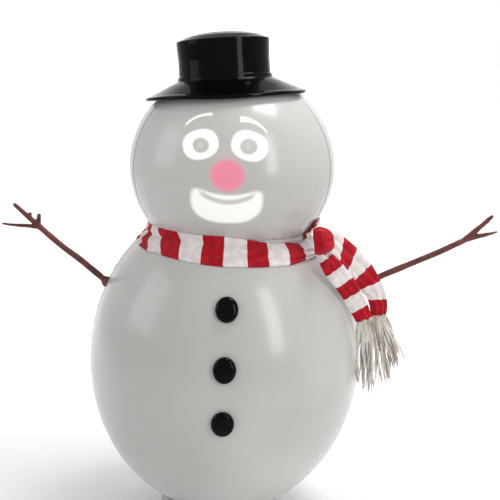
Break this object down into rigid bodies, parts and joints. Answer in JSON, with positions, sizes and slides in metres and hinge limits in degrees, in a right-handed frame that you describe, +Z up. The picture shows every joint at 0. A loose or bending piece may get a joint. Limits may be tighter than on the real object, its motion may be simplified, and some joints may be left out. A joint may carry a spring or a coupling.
{
  "type": "inflatable yard snowman",
  "caption": "Air-filled vinyl snowman on a weighted blower base, with a moulded top hat, stick arms, buttons, a knotted striped scarf and a face projected from inside the head.",
  "frame": {"origin": "centre of the base tub's underside, on the ground", "axes": "+Z up, -Y the way the face looks, +X towards the scarf's knot and the longer arm"},
  "size_m": [1.2104, 0.6712, 1.1956],
  "materials": {
    "base_plastic": "fine moulded grain",
    "white_nylon": "satin moulded",
    "globe_vinyl": "glossy translucent sheet",
    "hat_plastic": "glossy blow-moulded",
    "button_plastic": "glossy domed",
    "arm_plastic": "satin moulded",
    "scarf_fleece": "ribbed brushed fleece, red and white stripes",
    "fringe_yarn": "loose brushed yarn",
    "steel": "zinc plated",
    "ballast_iron": "painted casting",
    "motor_can": "drawn steel",
    "sink_aluminium": "black anodised",
    "clear_optic": "polished",
    "slide_film": "printed transparency",
    "board": "circuit board",
    "soft_rubber": "moulded",
    "valve_vinyl": "soft clear-white moulding",
    "lead_jacket": "smooth"
  },
  "bodies": {
    "snowman": {"base_tub": "base_plastic", "base_deck": "base_plastic", "body_clamp_ring": "white_nylon", "base_screws": "steel", "ballast_ring": "ballast_iron", "fan_housing": "base_plastic", "fan_motor": "motor_can", "flap_hinge_bracket": "white_nylon", "dc_inlet": "base_plastic", "switch_body": "base_plastic", "body_front_panel": "globe_vinyl", "body_back_panel": "globe_vinyl", "button_top": "button_plastic", "button_middle": "button_plastic", "button_bottom": "button_plastic", "button_studs": "white_nylon", "button_washers": "white_nylon", "arm_socket_left": "arm_plastic", "arm_socket_right": "arm_plastic", "valve_body": "valve_vinyl", "valve_nut": "white_nylon", "neck_hub": "white_nylon", "neck_clamp_lower": "white_nylon", "neck_clamp_upper": "white_nylon", "neck_screws": "steel", "projector_bridge": "steel", "projector_bracket": "steel", "inner_lead": "lead_jacket", "head_front_panel": "globe_vinyl", "head_back_panel": "globe_vinyl", "head_top_plate": "white_nylon", "hat_spigot": "white_nylon", "scarf_wrap": "scarf_fleece", "scarf_knot": "scarf_fleece", "scarf_tail_front": "scarf_fleece", "scarf_tail_back": "scarf_fleece", "scarf_fringe_front": "fringe_yarn", "scarf_fringe_back": "fringe_yarn"},
    "impeller": {"fan_impeller": "white_nylon"},
    "flap": {"check_flap": "soft_rubber"},
    "button": {"power_button": "button_plastic"},
    "liner_left": {"arm_liner_left": "arm_plastic"},
    "stick_left": {"arm_left": "arm_plastic"},
    "liner_right": {"arm_liner_right": "arm_plastic"},
    "stick_right": {"arm_right": "arm_plastic"},
    "stopper": {"valve_cap": "valve_vinyl"},
    "projector": {"projector_housing": "base_plastic", "heat_sink": "sink_aluminium", "led_board": "board", "led_emitter": "clear_optic", "condenser_lens": "clear_optic", "slide_carrier": "base_plastic", "face_slide": "slide_film"},
    "focus": {"focus_ring": "soft_rubber"},
    "lens": {"lens_barrel": "base_plastic", "objective_lens": "clear_optic"},
    "hat": {"hat_shell": "hat_plastic", "hat_socket": "hat_plastic"}
  },
  "joints": [
    {"name": "impeller_spin", "type": "hinge", "parent": "snowman", "child": "impeller", "pos_m": [0, 0, 0.042], "axis": [0, 0, 1], "continuous": true},
    {"name": "flap_swing", "type": "hinge", "parent": "snowman", "child": "flap", "pos_m": [0, 0.062, 0.0621], "axis": [-1, 0, 0], "range_deg": [0, 70]},
    {"name": "button_press", "type": "slide", "parent": "snowman", "child": "button", "axis": [0, -1, 0], "range_m": [0, 0.0025], "stiffness_N_per_m": 300},
    {"name": "arm_left_turn", "type": "hinge", "parent": "snowman", "child": "liner_left", "pos_m": [-0.295, 0, 0.588], "axis": [-0.7837, 0, 0.6211], "range_deg": [-90, 90]},
    {"name": "arm_left_pull", "type": "slide", "parent": "liner_left", "child": "stick_left", "axis": [-0.7837, 0, 0.6211], "range_m": [0, 0.06]},
    {"name": "arm_right_turn", "type": "hinge", "parent": "snowman", "child": "liner_right", "pos_m": [0.295, 0, 0.588], "axis": [0.8957, 0, 0.4446], "range_deg": [-90, 90]},
    {"name": "arm_right_pull", "type": "slide", "parent": "liner_right", "child": "stick_right", "axis": [0.8957, 0, 0.4446], "range_m": [0, 0.06]},
    {"name": "stopper_open", "type": "hinge", "parent": "snowman", "child": "stopper", "pos_m": [0.026, 0.32122, 0.29847], "axis": [0, -0.2553, -0.9669], "range_deg": [0, 110]},
    {"name": "projector_tilt", "type": "hinge", "parent": "snowman", "child": "projector", "pos_m": [0, 0.06, 0.797], "axis": [1, 0, 0], "range_deg": [-12, 12]},
    {"name": "focus_turn", "type": "hinge", "parent": "projector", "child": "focus", "pos_m": [0, 0.06, 0.797], "axis": [0, -0.9563, 0.2924], "range_deg": [0, 90]},
    {"name": "lens_travel", "type": "slide", "parent": "projector", "child": "lens", "axis": [0, -0.9563, 0.2924], "range_m": [0, 0.008]},
    {"name": "hat_lift", "type": "slide", "parent": "snowman", "child": "hat", "axis": [-0.0993, 0, 0.9951], "range_m": [0, 0.06]}
  ],
  "couplings": [
    {"joint": "lens_travel", "follows": "focus_turn", "m_per_rad": 0.005}
  ]
}
